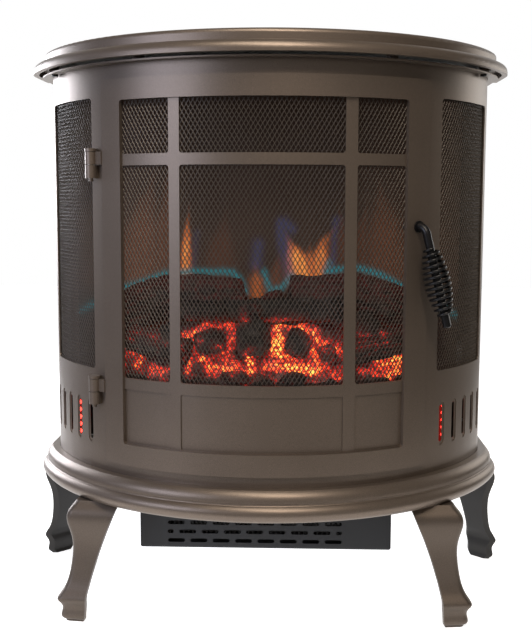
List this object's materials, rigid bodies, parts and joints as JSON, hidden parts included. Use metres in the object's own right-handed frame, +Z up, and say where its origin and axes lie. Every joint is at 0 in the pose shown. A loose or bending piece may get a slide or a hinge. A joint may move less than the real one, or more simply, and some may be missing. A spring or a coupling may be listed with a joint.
{
  "type": "electric fireplace",
  "caption": "Free-standing electric stove with a bowed front, hinged mesh door with a spring-grip handle, glowing logs, mesh side lights and a slotted heater box on cast cabriole legs.",
  "frame": {"origin": "on the floor, at the centre of the bounding box", "axes": "+X to the right seen from the front, +Y to the back, +Z up"},
  "size_m": [0.5518, 0.2944, 0.5928],
  "materials": {
    "bronze": "satin bronze metallic paint",
    "screen_mesh": "bronze painted expanded metal",
    "steel": "dull plated steel",
    "black_spring": "black satin coiled wire",
    "black_sheet": "matt black sheet",
    "blue_grey_sheet": "satin blue-grey painted sheet",
    "charred_log": "moulded charred wood, matt",
    "embers": "translucent moulded embers, lit from below",
    "flame_screen": "frosted projection sheet with flame light",
    "foil": "mirror foil",
    "lamp_board": "lamp strip",
    "black_plastic": "moulded black plastic",
    "ceramic": "finned ceramic heater block"
  },
  "bodies": {
    "root": {"top_plate": "bronze", "lid_screws": "black_spring", "body_shell": "bronze", "side_screen_left": "screen_mesh", "side_screen_right": "screen_mesh", "back_panel": "black_sheet", "back_panel_screws": "steel", "base_plate": "bronze", "leg_front_left": "bronze", "leg_front_right": "bronze", "leg_rear_left": "bronze", "leg_rear_right": "bronze", "leg_bolts": "steel", "hinge_barrel_upper": "bronze", "hinge_barrel_lower": "bronze", "hinge_pin_upper": "bronze", "hinge_pin_lower": "bronze", "latch_keeper": "steel", "log_rear_left": "charred_log", "log_rear_right": "charred_log", "log_front": "charred_log", "log_front_left": "charred_log", "log_front_right": "charred_log", "log_cross": "charred_log", "ember_bed": "embers", "flame_screen": "flame_screen", "firebox_floor": "black_sheet", "firebox_roof": "black_sheet", "ember_fascia": "black_sheet", "rotor_bearing": "steel", "rotor_motor": "steel", "flame_mirror": "foil", "led_board": "lamp_board", "heater_housing": "blue_grey_sheet", "heating_element": "ceramic", "thermal_cutout": "black_plastic", "fan_cradle": "black_sheet", "fan_bearing": "steel", "fan_motor": "steel", "control_plate": "black_sheet", "switch_frames": "black_plastic", "cable_gland": "black_plastic"},
    "door": {"door_frame": "bronze", "door_grille": "bronze", "door_panel": "bronze", "door_mesh": "screen_mesh", "hinge_strap_upper": "bronze", "hinge_strap_lower": "bronze", "handle_bush": "black_spring", "wave_washer": "steel"},
    "handle": {"handle_rod": "black_spring", "handle_spring": "black_spring", "latch_cam": "steel", "handle_nut": "steel"},
    "flicker": {"flicker_rotor": "foil"},
    "blower": {"fan_impeller": "black_plastic"},
    "power_rocker": {"switch_power": "black_plastic"},
    "flame_rocker": {"switch_flame": "black_plastic"},
    "heat_rocker": {"switch_heat": "black_plastic"},
    "knob": {"thermostat_knob": "black_plastic"}
  },
  "joints": [
    {"name": "door_swing", "type": "hinge", "parent": "root", "child": "door", "pos_m": [-0.17536, -0.06388, 0.36], "axis": [0, 0, -1], "range_deg": [0, 115]},
    {"name": "handle_turn", "type": "hinge", "parent": "door", "child": "handle", "pos_m": [0.14901, -0.07735, 0.4095], "axis": [0.592, -0.8059, 0], "range_deg": [-20, 60]},
    {"name": "flicker_spin", "type": "hinge", "parent": "root", "child": "flicker", "pos_m": [0, 0.042, 0.266], "axis": [1, 0, 0], "continuous": true},
    {"name": "fan_spin", "type": "hinge", "parent": "root", "child": "blower", "pos_m": [0, 0.048, 0.092], "axis": [1, 0, 0], "continuous": true},
    {"name": "power_rock", "type": "hinge", "parent": "root", "child": "power_rocker", "pos_m": [0.108, 0.1168, 0.492], "axis": [1, 0, 0], "range_deg": [0, 12]},
    {"name": "flame_rock", "type": "hinge", "parent": "root", "child": "flame_rocker", "pos_m": [0.13, 0.1168, 0.492], "axis": [1, 0, 0], "range_deg": [0, 12]},
    {"name": "heat_rock", "type": "hinge", "parent": "root", "child": "heat_rocker", "pos_m": [0.152, 0.1168, 0.492], "axis": [1, 0, 0], "range_deg": [0, 12]},
    {"name": "thermostat_turn", "type": "hinge", "parent": "root", "child": "knob", "pos_m": [0.168, 0.1166, 0.468], "axis": [0, 1, 0], "range_deg": [0, 270]}
  ]
}
